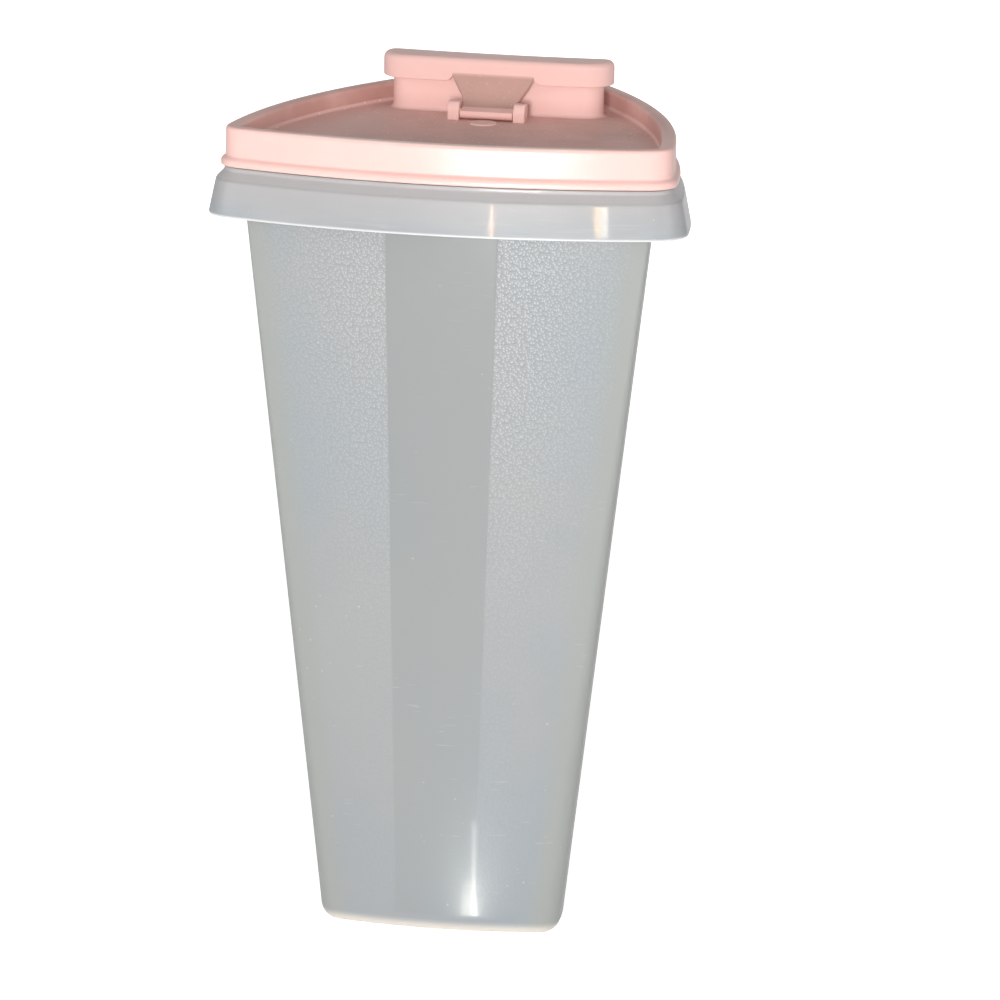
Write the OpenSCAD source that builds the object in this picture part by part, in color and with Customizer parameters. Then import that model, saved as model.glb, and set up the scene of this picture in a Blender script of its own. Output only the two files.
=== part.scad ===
// Tapered cereal keeper with a rounded-triangle plan: a translucent container
// with a hollow rim skirt, a press-on lid with a recessed deck and a spout
// tower at its rear corner, and a hinged flip cap over the spout.
// Millimetres, +Z up, front (hinge side) towards -Y, spout corner towards +Y.

/* [Plan of the lid] */
// Width of the lid's outer wall across its front corners
lid_w = 130; // [126:1:134]
// Radius of the two front corners
front_corner_r = 7.3; // [6.5:0.1:8]
// Radius of the rear corner under the spout
rear_corner_r = 21.75; // [20:0.25:23]
// Bow radius of the front side
front_arc_r = 209.4; // [200:0.5:225]
// Bow radius of the two rear sides
side_arc_r = 171.8; // [165:0.5:185]

/* [Container] */
// Height of the lip at the bottom of the rim skirt
skirt_z = 208.5; // [200:0.5:214]
// How far the skirt's lip stands outside the lid wall
skirt_out = 4.65; // [3.5:0.05:5]
// Inset of the container wall from the lid wall, at the skirt's lip
body_in = 6; // [5.8:0.1:7]
// Ratio of the base plan to the plan at the skirt
base_ratio = 0.6; // [0.57:0.01:0.66]
// Container wall thickness
wall = 1.5; // [1.2:0.1:1.8]
// Floor thickness
floor_t = 1.9; // [1.6:0.1:2.4]
// Radius between wall and floor, outside
base_r = 5.8; // [5:0.1:6.5]

/* [Lid] */
// Height of the lid's outer wall with its bead
lid_h = 11.3; // [11:0.1:12]
// Wall thickness of the lid mouldings
lid_t = 1.25; // [1.2:0.05:1.3]
// Depth of the deck below the lid's rim
deck_drop = 5.4; // [5:0.1:6]
// Deck thickness
deck_t = 1.4; // [1.2:0.1:1.8]

/* [Spout and flip cap] */
// Width of the spout tower across its front
tower_w = 62.2; // [60:0.2:64]
// Depth of the spout tower, front to rear
tower_d = 24.6; // [23.5:0.1:25.5]
// Distance of the tower's front face behind the lid's front edge
tower_y = 80.2; // [78:0.2:82]
// Height of the cap's skirt bottom above the deck
cap_z = 9.5; // [9.3:0.1:9.8]
// Height of the cap at its front
cap_h = 6.9; // [6.7:0.1:7.3]
// Overhang of the cap around the tower
cap_over = 2.95; // [2.8:0.05:3.2]
// Wall thickness of the cap
cap_t = 1.4; // [1.3:0.05:1.45]
// Angle that the cap's top falls at, towards the spout corner
cap_slope = 11.5; // [10:0.5:12]

/* [Hinge] */
// Distance of the hinge axis in front of the tower's front face
hinge_fwd = 10.6; // [10.4:0.1:11]
// Height of the hinge axis above the deck
hinge_up = 2.2; // [2.2:0.05:2.3]
// Gap between the two hinge ears
ear_gap = 16; // [15.7:0.1:16.3]
// Width of one hinge ear
ear_w = 3.35; // [3.15:0.05:3.55]
// Radius of the hinge trunnions
pin_r = 1; // [0.9:0.05:1]

/* [Hidden] */
$fn = 64;
sheer = [0.72, 0.75, 0.78, 0.9];
pink = [0.96, 0.72, 0.69];
bead_z = skirt_z + 14.1;
lid_top = bead_z + lid_h;
deck_z = lid_top - deck_drop;
n_arc = 16;
n_small = 10;
n_rear = 14;

// ---- plan curves: a chain of six tangent arcs around a rounded triangle
function ang(c, p) = atan2(p[1] - c[1], p[0] - c[0]);
function fwd(a, b) = b < a - 0.0001 ? b + 360 : b;
function arc(c, r, a0, a1, n) = [for (i = [0:n - 1]) let (t = a0 + (fwd(a0, a1) - a0) * i / n) c + r * [cos(t), sin(t)]];
// centre of the circle of radius R that encloses circles (p, rp) and (q, rq)
function enclose(p, rp, q, rq, R) =
    let (d1 = R - rp, d2 = R - rq, v = q - p, L = norm(v), x = (d1 * d1 - d2 * d2 + L * L) / (2 * L))
    p + v / L * x + [-v[1], v[0]] / L * sqrt(max(d1 * d1 - x * x, 0.000001));
// s = [a, yf, yb, r1, r2, R1, R2]; off grows the curve outward
function plan(s, off) =
    let (q = [s[0], s[1]], b = [0, s[2]], p = [-s[0], s[1]],
         cf = enclose(p, s[3], q, s[3], s[5]), cr = enclose(q, s[3], b, s[4], s[6]), cl = enclose(b, s[4], p, s[3], s[6]))
    concat(arc(cf, s[5] + off, ang(cf, p), ang(cf, q), n_arc),
           arc(q, s[3] + off, ang(cf, q), ang(cr, q), n_small),
           arc(cr, s[6] + off, ang(cr, q), ang(cr, b), n_arc),
           arc(b, s[4] + off, ang(cr, b), ang(cl, b), n_rear),
           arc(cl, s[6] + off, ang(cl, b), ang(cl, p), n_arc),
           arc(p, s[3] + off, ang(cl, p), ang(cf, p), n_small));

// lid plan, with Y = 0 midway between the skirt's front and rear
a1 = lid_w / 2 - front_corner_r;
bow = front_arc_r - sqrt(pow(front_arc_r - front_corner_r, 2) - a1 * a1);
front_y = -64.3;
lid_s = [a1, front_y + bow, front_y + 106.9, front_corner_r, rear_corner_r, front_arc_r, side_arc_r];
rear_y = lid_s[2] + rear_corner_r;

// base plan of the container
b_half = (lid_w / 2 - body_in) * base_ratio;
b_r1 = 6;
b_R1 = 126;
b_bow = b_R1 - sqrt(pow(b_R1 - b_r1, 2) - pow(b_half - b_r1, 2));
b_front = front_y + body_in + 6;
base_s = [b_half - b_r1, b_front + b_bow, 10.6, b_r1, 13, b_R1, 103];
top_ring = plan(lid_s, -body_in);

function at(pts, z) = [for (p = pts) [p[0], p[1], z]];
function ring(off, z) = at(plan(lid_s, off), z);
function base_ring(off, z) = at(plan(base_s, off), z);
// straight tapered wall between the base plan and the plan at the skirt
function wall_ring(off, z) =
    let (b = plan(base_s, off), t = plan(lid_s, off - body_in), k = (z - base_r) / (skirt_z - base_r))
    [for (i = [0:len(b) - 1]) [b[i][0] * (1 - k) + t[i][0] * k, b[i][1] * (1 - k) + t[i][1] * k, z]];

// solid through a list of rings, closed by a flat face at each end
module loft(rings) {
    n = len(rings[0]);
    m = len(rings);
    pts = [for (r = rings) each r];
    polyhedron(points = pts, faces = concat(
        [[for (i = [0:n - 1]) i]],
        [for (j = [0:m - 2]) for (i = [0:n - 1]) let (k = (i + 1) % n) each [[j * n + i, (j + 1) * n + i, j * n + k], [j * n + k, (j + 1) * n + i, (j + 1) * n + k]]],
        [[for (i = [n - 1:-1:0]) (m - 1) * n + i]]));
}
// closed band: the last ring joins the first
module band(rings) {
    n = len(rings[0]);
    m = len(rings);
    pts = [for (r = rings) each r];
    polyhedron(points = pts, faces =
        [for (j = [0:m - 1]) for (i = [0:n - 1]) let (k = (i + 1) % n, l = (j + 1) % m) each [[j * n + i, l * n + i, j * n + k], [j * n + k, l * n + i, l * n + k]]]);
}

// ---- container
neck_o = -1.55;
neck_i = -2.85;
neck_top = lid_top - lid_t - 0.15;
module container_shell() color(sheer) loft(concat(
    // recessed base, foot ring and outer fillet
    [base_ring(-base_r - 4.5, 0.9), base_ring(-base_r - 3.3, 0), base_ring(-base_r, 0)],
    [for (t = [15:15:90]) base_ring(-base_r * (1 - sin(t)), base_r * (1 - cos(t)))],
    [for (k = [1:3]) wall_ring(0, base_r + (skirt_z - base_r) * k / 4)],
    // shoulder and neck
    [wall_ring(0, skirt_z + 4), ring(-4.6, skirt_z + 6.1), ring(-2.9, skirt_z + 8), ring(neck_o, skirt_z + 9.1),
     ring(neck_o, neck_top - 0.4), ring(neck_o - 0.3, neck_top),
     ring(neck_i + 0.3, neck_top), ring(neck_i, neck_top - 0.4),
     ring(neck_i, skirt_z + 10), ring(-4.4, skirt_z + 8.9), ring(-6, skirt_z + 7)],
    // inside of the wall, down to the floor
    [wall_ring(-wall, skirt_z + 4)],
    [for (k = [3:-1:1]) wall_ring(-wall, base_r + (skirt_z - base_r) * k / 4)],
    [for (t = [90:-22.5:0]) base_ring(-wall - (base_r - 1) * (1 - sin(t)), floor_t + (base_r - 1) * (1 - cos(t)))]));

module container_rim_skirt() color(sheer) band([
    ring(neck_o, skirt_z + 10.8), ring(-0.4, skirt_z + 10.8), ring(1.35, skirt_z + 9.2), ring(skirt_out - 1.35, skirt_z + 0.3), ring(skirt_out - 1.15, skirt_z), ring(skirt_out - 0.2, skirt_z), ring(skirt_out, skirt_z + 0.2), ring(skirt_out - 0.05, skirt_z + 0.6), ring(2.75, skirt_z + 9.9), ring(2.45, skirt_z + 10.5), ring(0.3, skirt_z + 12.7), ring(0.3, bead_z - 0.5), ring(0.1, bead_z - 0.3), ring(neck_o, bead_z - 0.3)]);

// ---- lid
module lid_rim_channel() color(pink) band([
    ring(-lid_t, bead_z), ring(0, bead_z), ring(0, lid_top - 1.1), ring(-0.12, lid_top - 0.55), ring(-0.45, lid_top - 0.18), ring(-1.1, lid_top),
    ring(-3.2, lid_top), ring(-3.85, lid_top - 0.18), ring(-4.15, lid_top - 0.5), ring(-4.3, lid_top - 1.1),
    ring(-4.3, deck_z - 4), ring(-3.15, deck_z - 4), ring(-3.15, lid_top - lid_t), ring(-lid_t, lid_top - lid_t)]);

module lid_edge_bead() color(pink) band([
    ring(0, bead_z), ring(1, bead_z), ring(1.35, bead_z + 0.35), ring(1.4, bead_z + 1.2), ring(1.3, bead_z + 1.9), ring(0.9, bead_z + 2.25), ring(0, bead_z + 2.4)]);

// plan of the spout tower: flat front, sides closing in on the rear corner
t_y = front_y + tower_y;
t_r = 5.5;
t_a = tower_w / 2 - t_r;
t_R1 = 900;
t_bow = t_R1 - sqrt(pow(t_R1 - t_r, 2) - t_a * t_a);
t_s = [t_a, t_y + t_bow, t_y + tower_d - 14, t_r, 14, t_R1, 62];
function t_ring(off, z) = at(plan(t_s, off), z);
cap_top = deck_z + cap_z + cap_h;
c_front = t_y - cap_over;
// fall of the cap's top behind its front edge: flat, then rolled over to the slope
roll_r = 25;
flat_d = 9;
function fall(y) = let (u = y - c_front - flat_d)
    u <= 0 ? 0 :
    u < roll_r * sin(cap_slope) ? roll_r - sqrt(roll_r * roll_r - u * u) :
    roll_r * (1 - cos(cap_slope)) + (u - roll_r * sin(cap_slope)) * tan(cap_slope);
// a ring whose height follows the cap's top, dz below it
function c_ring(off, dz) = [for (p = plan(t_s, off)) [p[0], p[1], cap_top - dz - fall(p[1])]];
lip_dz = cap_t + 0.3;

module lid_deck() color(pink) difference() {
    translate([0, 0, deck_z - deck_t]) linear_extrude(deck_t) polygon(plan(lid_s, -4.3));
    translate([0, 0, deck_z - deck_t - 1]) linear_extrude(deck_t + 2) polygon(plan(t_s, -lid_t));
}

module spout_tower() color(pink) band([
    t_ring(-lid_t, deck_z), t_ring(0.9, deck_z), t_ring(0.35, deck_z + 0.45), t_ring(0.1, deck_z + 1.1),
    c_ring(0, lip_dz + 0.3), c_ring(-0.25, lip_dz), c_ring(-lid_t + 0.25, lip_dz), c_ring(-lid_t, lip_dz + 0.3)]);

// ---- hinge on the deck, drawn in a side plane: [distance behind the axis, height above the deck]
h_y = t_y - hinge_fwd;
h_z = deck_z + hinge_up;
module side_plate(pts, x0, w) translate([x0, h_y, deck_z]) rotate([90, 0, 90]) linear_extrude(w) polygon(pts);
module ear(x0) color(pink) difference() {
    side_plate([[-2.2, 0], [3, 0], [2.75, 1.2], [3, 4.4], [2.6, 5.1], [0.6, 5.35], [-0.7, 5.2], [-1.5, 4.6], [-2, 3.7], [-2.2, 2.6]], x0, ear_w);
    translate([x0 - 1, h_y, h_z]) rotate([0, 90, 0]) cylinder(h = ear_w + 2, r = pin_r + 0.06);
}
module hinge_ear_left() ear(-ear_gap / 2 - ear_w);
module hinge_ear_right() ear(ear_gap / 2);

module deck_button() color(pink) translate([0, h_y - 5.6, deck_z]) {
    cylinder(h = 0.35, r = 3.9);
    translate([0, 0, 0.35]) cylinder(h = 0.25, r1 = 3.7, r2 = 3.4);
}

// solid through a list of rings, flat below; its curved top is closed by strips
// from side to side, each joining two mirrored pairs of points at one height
module top_loft(rings) {
    n = len(rings[0]);
    m = len(rings);
    f = n_arc / 2;
    o = (m - 1) * n;
    pts = [for (r = rings) each r];
    polyhedron(points = pts, faces = concat(
        [[for (i = [0:n - 1]) i]],
        [for (j = [0:m - 2]) for (i = [0:n - 1]) let (k = (i + 1) % n) each [[j * n + i, (j + 1) * n + i, j * n + k], [j * n + k, (j + 1) * n + i, (j + 1) * n + k]]],
        [for (k = [0:n / 2 - 1]) let (a = o + (f + k) % n, b = o + (f + k + 1) % n, c = o + (f - k - 1 + n) % n, d = o + (f - k + n) % n)
            each (k == 0 ? [[b, a, c]] : k == n / 2 - 1 ? [[b, a, d]] : [[b, a, d], [b, d, c]])]));
}

// ---- flip cap: shell open below, with a notch over the strap
strap_top = 11.9;
// rounding of the cap's top edge
cap_r = 1.9;
module cap_hollow() top_loft([t_ring(cap_over - cap_t, deck_z + cap_z - 1), c_ring(cap_over - cap_t, cap_t)]);
module flip_cap_shell() color(pink) difference() {
    top_loft(concat(
        [t_ring(cap_over, deck_z + cap_z), t_ring(cap_over, deck_z + cap_z + 0.01)],
        [for (t = [0:22.5:90]) c_ring(cap_over - cap_r * (1 - cos(t)), cap_r * (1 - sin(t)))]));
    cap_hollow();
    translate([-strap_top - 0.6, c_front - 3, deck_z + cap_z - 1]) cube([2 * strap_top + 1.2, 3 + cap_t + 0.6, 2.5]);
}

// the ring hangs from the hollow's ceiling, so its top is cut by that same ceiling
module flip_cap_seal_ring() color(pink) intersection() {
    band([c_ring(-3.9, cap_t - 0.8), c_ring(-3.9, lip_dz + 1), c_ring(-3.7, lip_dz + 1.2), c_ring(-2.9, lip_dz + 1.2), c_ring(-2.7, lip_dz + 1), c_ring(-2.7, cap_t - 0.8)]);
    cap_hollow();
}

// knuckle: bar between the ears with an upright front lip, its trunnions turn in the ears
s_w = ear_gap / 2 - 0.3;
join_u = 1.2;
module hinge_knuckle() color(pink) side_plate([[-2.05, 1.5], [-1.6, 0.85], [-0.8, 0.45], [0.6, 0.5], [join_u, 0.9], [join_u, 3.55], [0, 3.15], [-1.4, 2.9], [-1.95, 2.8], [-2.05, 2.65]], -s_w, 2 * s_w);

module hinge_trunnions() color(pink) for (s = [-1, 1]) translate([s * s_w, h_y, h_z]) rotate([0, s * 90, 0]) cylinder(h = ear_w + 0.3, r = pin_r);

// concave strap from the knuckle up to the front of the cap
s_u1 = hinge_fwd - cap_over;
// upper and lower edge of the strap: [behind the axis, above the deck, half width]
strap_up = [[join_u, 3.55, s_w], [2.3, 4, s_w], [3.3, 4.55, s_w + 0.1], [4.3, 5.25, s_w + 0.4], [5.4, 6.35, s_w + 1], [6.3, 7.75, s_w + 1.9], [7, 9.4, s_w + 2.9], [s_u1, 12.1, strap_top]];
strap_dn = [[join_u, 0.9, s_w], [2.5, 2.3, s_w], [3.9, 3.25, s_w + 0.1], [5.1, 4.1, s_w + 0.4], [6.2, 5.2, s_w + 1], [7, 6.6, s_w + 1.9], [7.4, 8.1, s_w + 2.9], [s_u1, cap_z + 1.5, strap_top]];
module hinge_strap() color(pink) loft([for (i = [0:len(strap_up) - 1]) let (u = strap_up[i], d = strap_dn[i])
    [[-u[2], h_y + u[0], deck_z + u[1]], [u[2], h_y + u[0], deck_z + u[1]], [d[2], h_y + d[0], deck_z + d[1]], [-d[2], h_y + d[0], deck_z + d[1]]]]);

container_shell();
container_rim_skirt();
lid_rim_channel();
lid_edge_bead();
lid_deck();
spout_tower();
hinge_ear_left();
hinge_ear_right();
deck_button();
flip_cap_shell();
flip_cap_seal_ring();
hinge_strap();
hinge_knuckle();
hinge_trunnions();
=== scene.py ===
import bpy, math
from mathutils import Vector, Matrix


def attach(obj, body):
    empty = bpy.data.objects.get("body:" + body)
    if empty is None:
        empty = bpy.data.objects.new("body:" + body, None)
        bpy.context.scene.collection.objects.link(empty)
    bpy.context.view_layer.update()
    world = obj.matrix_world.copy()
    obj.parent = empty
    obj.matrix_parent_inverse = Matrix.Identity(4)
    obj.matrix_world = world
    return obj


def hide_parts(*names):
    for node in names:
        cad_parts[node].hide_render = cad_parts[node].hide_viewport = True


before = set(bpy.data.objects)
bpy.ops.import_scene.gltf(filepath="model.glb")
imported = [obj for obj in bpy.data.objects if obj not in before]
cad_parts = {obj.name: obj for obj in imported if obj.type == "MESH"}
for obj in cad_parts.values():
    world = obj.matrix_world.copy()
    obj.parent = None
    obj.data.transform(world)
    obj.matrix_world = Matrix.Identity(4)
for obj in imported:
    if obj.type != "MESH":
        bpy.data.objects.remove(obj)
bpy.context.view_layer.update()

MM = 0.001

# ---------------------------------------------------------------- sizes, in millimetres (as in the CAD source)
LID_W, R_FC, R_RC, R_FA, R_SA = 130.0, 7.3, 21.75, 209.4, 171.8
SKIRT_Z, SKIRT_OUT, BODY_IN, BASE_K, WALL, FLOOR_T, BASE_R = 208.5, 4.65, 6.0, 0.6, 1.5, 1.9, 5.8
LID_H, LID_T, DECK_DROP, DECK_T = 11.3, 1.25, 5.4, 1.4
TOWER_W, TOWER_D, TOWER_Y, CAP_Z, CAP_H, CAP_OVER, CAP_T, CAP_SLOPE = 62.2, 24.6, 80.2, 9.5, 6.9, 2.95, 1.4, 11.5
CAP_R, CAP_FLAT = 1.9, 9.0
HINGE_FWD, HINGE_UP, EAR_GAP, EAR_W, PIN_R = 10.6, 2.2, 16.0, 3.35, 1.0
FRONT_Y = -64.3
BEAD_Z = SKIRT_Z + 14.1
LID_TOP = BEAD_Z + LID_H
DECK_Z = LID_TOP - DECK_DROP

# ---------------------------------------------------------------- plan curves: six tangent arcs
def ang(c, p):
    return math.atan2(p[1] - c[1], p[0] - c[0])

def enclose(p, rp, q, rq, R):
    d1, d2 = R - rp, R - rq
    vx, vy = q[0] - p[0], q[1] - p[1]
    L = math.hypot(vx, vy)
    x = (d1 * d1 - d2 * d2 + L * L) / (2 * L)
    h = math.sqrt(max(d1 * d1 - x * x, 1e-6))
    return (p[0] + vx / L * x - vy / L * h, p[1] + vy / L * x + vx / L * h)

def even(n):
    return [i / n for i in range(n)]

FINE = (56, 18, 56, 26)

def plan(s, off, fr=None):
    """Points around the rounded triangle s = (a, yf, yb, r1, r2, R1, R2), grown by off. fr holds the six arcs' own fractions."""
    a, yf, yb, r1, r2, R1, R2 = s
    q, b, p = (a, yf), (0.0, yb), (-a, yf)
    cf, cr, cl = enclose(p, r1, q, r1, R1), enclose(q, r1, b, r2, R2), enclose(b, r2, p, r1, R2)
    arcs = [(cf, R1, ang(cf, p), ang(cf, q)), (q, r1, ang(cf, q), ang(cr, q)), (cr, R2, ang(cr, q), ang(cr, b)),
            (b, r2, ang(cr, b), ang(cl, b)), (cl, R2, ang(cl, b), ang(cl, p)), (p, r1, ang(cl, p), ang(cf, p))]
    if fr is None:
        A, C, S, B = FINE
        fr = [even(A), even(C), even(S), even(B), even(S), even(C)]
    out = []
    for (c, r, a0, a1), f in zip(arcs, fr):
        while a1 < a0 - 1e-6:
            a1 += 2 * math.pi
        for t in f:
            w = a0 + (a1 - a0) * t
            out.append((c[0] + (r + off) * math.cos(w), c[1] + (r + off) * math.sin(w)))
    return out

def bow_of(R, r, a):
    return R - math.sqrt((R - r) ** 2 - a * a)

A1 = LID_W / 2 - R_FC
LID_S = (A1, FRONT_Y + bow_of(R_FA, R_FC, A1), FRONT_Y + 106.9, R_FC, R_RC, R_FA, R_SA)
B_HALF = (LID_W / 2 - BODY_IN) * BASE_K
B_FRONT = FRONT_Y + BODY_IN + 6
BASE_S = (B_HALF - 6, B_FRONT + bow_of(126, 6, B_HALF - 6), 10.6, 6, 13, 126, 103)
T_Y = FRONT_Y + TOWER_Y
T_A = TOWER_W / 2 - 5.5
T_S = (T_A, T_Y + bow_of(900, 5.5, T_A), T_Y + TOWER_D - 14, 5.5, 14, 900, 62)
CAP_TOP = DECK_Z + CAP_Z + CAP_H
C_FRONT = T_Y - CAP_OVER
H_Y, H_Z = T_Y - HINGE_FWD, DECK_Z + HINGE_UP

def fall(y):
    u = y - C_FRONT - CAP_FLAT
    s = math.radians(CAP_SLOPE)
    if u <= 0:
        return 0.0
    if u < 25 * math.sin(s):
        return 25 - math.sqrt(625 - u * u)
    return 25 * (1 - math.cos(s)) + (u - 25 * math.sin(s)) * math.tan(s)

def ring(off, z, fr=None):
    return [(x, y, z) for x, y in plan(LID_S, off, fr)]

def t_ring(off, z):
    return [(x, y, z) for x, y in plan(T_S, off)]

def c_ring(off, dz):
    return [(x, y, CAP_TOP - dz - fall(y)) for x, y in plan(T_S, off)]

# ---------------------------------------------------------------- mesh building
def round_columns(rings, radii, n=4, closed=True):
    """Every corner of the section that the rings make is rounded, radii[j] back from ring j."""
    m = len(rings)
    out = []
    for j in range(m):
        r = radii[j]
        if r <= 0 or (not closed and j in (0, m - 1)):
            out.append(rings[j])
            continue
        A, P, B = rings[j - 1], rings[j], rings[(j + 1) % m]
        cols = []
        for a, p, b in zip(A, P, B):
            a, p, b = Vector(a), Vector(p), Vector(b)
            u, v = a - p, b - p
            ra, rb = min(r, u.length * 0.49), min(r, v.length * 0.49)
            s, e = p + u.normalized() * ra, p + v.normalized() * rb
            cols.append([s * (1 - t) ** 2 + p * 2 * t * (1 - t) + e * t * t for t in [k / n for k in range(n + 1)]])
        for k in range(n + 1):
            out.append([tuple(c[k]) for c in cols])
    return out

def hold(rings, closed=True, gap=0.22, far=0.9):
    """Rings beside each long flat face, so that it stays flat up to the roundings at its ends."""
    out = []
    m = len(rings)
    for j in range(m):
        out.append(rings[j])
        if j == m - 1 and not closed:
            break
        A, B = rings[j], rings[(j + 1) % m]
        d = sum((Vector(a) - Vector(b)).length for a, b in zip(A[::9], B[::9])) / len(A[::9])
        if d > far:
            for t in (gap / d, 1 - gap / d):
                out.append([tuple(x + (y - x) * t for x, y in zip(a, b)) for a, b in zip(A, B)])
    return out

def new_object(name, verts, faces, smooth=38):
    me = bpy.data.meshes.new(name)
    me.from_pydata([tuple(c * MM for c in v) for v in verts], [], faces)
    me.validate()
    for p in me.polygons:
        p.use_smooth = True
    me.set_sharp_from_angle(angle=math.radians(smooth))
    me.update()
    ob = bpy.data.objects.new(name, me)
    bpy.context.scene.collection.objects.link(ob)
    return ob

def band(name, rings, smooth=38):
    n, m = len(rings[0]), len(rings)
    v = [p for r in rings for p in r]
    f = []
    for j in range(m):
        l = (j + 1) % m
        for i in range(n):
            k = (i + 1) % n
            f.append((j * n + i, l * n + i, l * n + k, j * n + k))
    return fix(new_object(name, v, f, smooth))

def loft(name, rings, smooth=38, cap0=True, cap1=True):
    n, m = len(rings[0]), len(rings)
    v = [p for r in rings for p in r]
    f = []
    for j in range(m - 1):
        for i in range(n):
            k = (i + 1) % n
            f.append((j * n + i, (j + 1) * n + i, (j + 1) * n + k, j * n + k))
    if cap0:
        f.append(tuple(range(n)))
    if cap1:
        f.append(tuple((m - 1) * n + i for i in reversed(range(n))))
    return fix(new_object(name, v, f, smooth))

def fix(ob):
    import bmesh
    bm = bmesh.new()
    bm.from_mesh(ob.data)
    bmesh.ops.recalc_face_normals(bm, faces=bm.faces)
    bm.to_mesh(ob.data)
    bm.free()
    return ob

def cap_grid(name_ring):
    """Centre of a ring in x and y, the mean of its points."""
    cx = sum(p[0] for p in name_ring) / len(name_ring)
    cy = sum(p[1] for p in name_ring) / len(name_ring)
    return cx, cy

# ---------------------------------------------------------------- materials
def srgb(r, g, b):
    def lin(c):
        c /= 255.0
        return c / 12.92 if c <= 0.04045 else ((c + 0.055) / 1.055) ** 2.4
    return (lin(r), lin(g), lin(b), 1.0)

def node(nt, kind, x=0, y=0, **kw):
    n = nt.nodes.new(kind)
    n.location = (x, y)
    for k, v in kw.items():
        setattr(n, k, v)
    return n

def mathn(nt, op, a, b=None, clamp=False):
    n = node(nt, "ShaderNodeMath", operation=op)
    n.use_clamp = clamp
    for i, v in enumerate((a, b)):
        if v is None:
            continue
        if hasattr(v, "is_linked"):
            nt.links.new(v, n.inputs[i])
        else:
            n.inputs[i].default_value = v
    return n.outputs[0]

def mixc(nt, fac, a, b, blend="MIX"):
    n = node(nt, "ShaderNodeMix", data_type="RGBA", blend_type=blend)
    for sock, v in ((n.inputs[0], fac), (n.inputs[6], a), (n.inputs[7], b)):
        if hasattr(v, "is_linked"):
            nt.links.new(v, sock)
        else:
            sock.default_value = v
    return n.outputs[2]

def noise(nt, co, scale, detail=3.0, rough=0.5):
    n = node(nt, "ShaderNodeTexNoise")
    n.inputs["Scale"].default_value = scale
    n.inputs["Detail"].default_value = detail
    n.inputs["Roughness"].default_value = rough
    nt.links.new(co, n.inputs["Vector"])
    return n.outputs["Fac"]

def ramp(nt, fac, lo, hi):
    n = node(nt, "ShaderNodeMapRange")
    n.interpolation_type = "SMOOTHSTEP"
    n.inputs["From Min"].default_value = lo
    n.inputs["From Max"].default_value = hi
    nt.links.new(fac, n.inputs["Value"])
    return n.outputs["Result"]

def bump(nt, height, strength, dist, normal=None):
    n = node(nt, "ShaderNodeBump")
    n.inputs["Strength"].default_value = strength
    n.inputs["Distance"].default_value = dist
    nt.links.new(height, n.inputs["Height"])
    if normal is not None:
        nt.links.new(normal, n.inputs["Normal"])
    return n.outputs["Normal"]

def base_mat(name):
    m = bpy.data.materials.new(name)
    m.use_nodes = True
    nt = m.node_tree
    nt.nodes.clear()
    out = node(nt, "ShaderNodeOutputMaterial", 900, 0)
    p = node(nt, "ShaderNodeBsdfPrincipled", 600, 0)
    nt.links.new(p.outputs[0], out.inputs[0])
    co = node(nt, "ShaderNodeTexCoord", -900, 0).outputs["Object"]
    return m, nt, p, co

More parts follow.
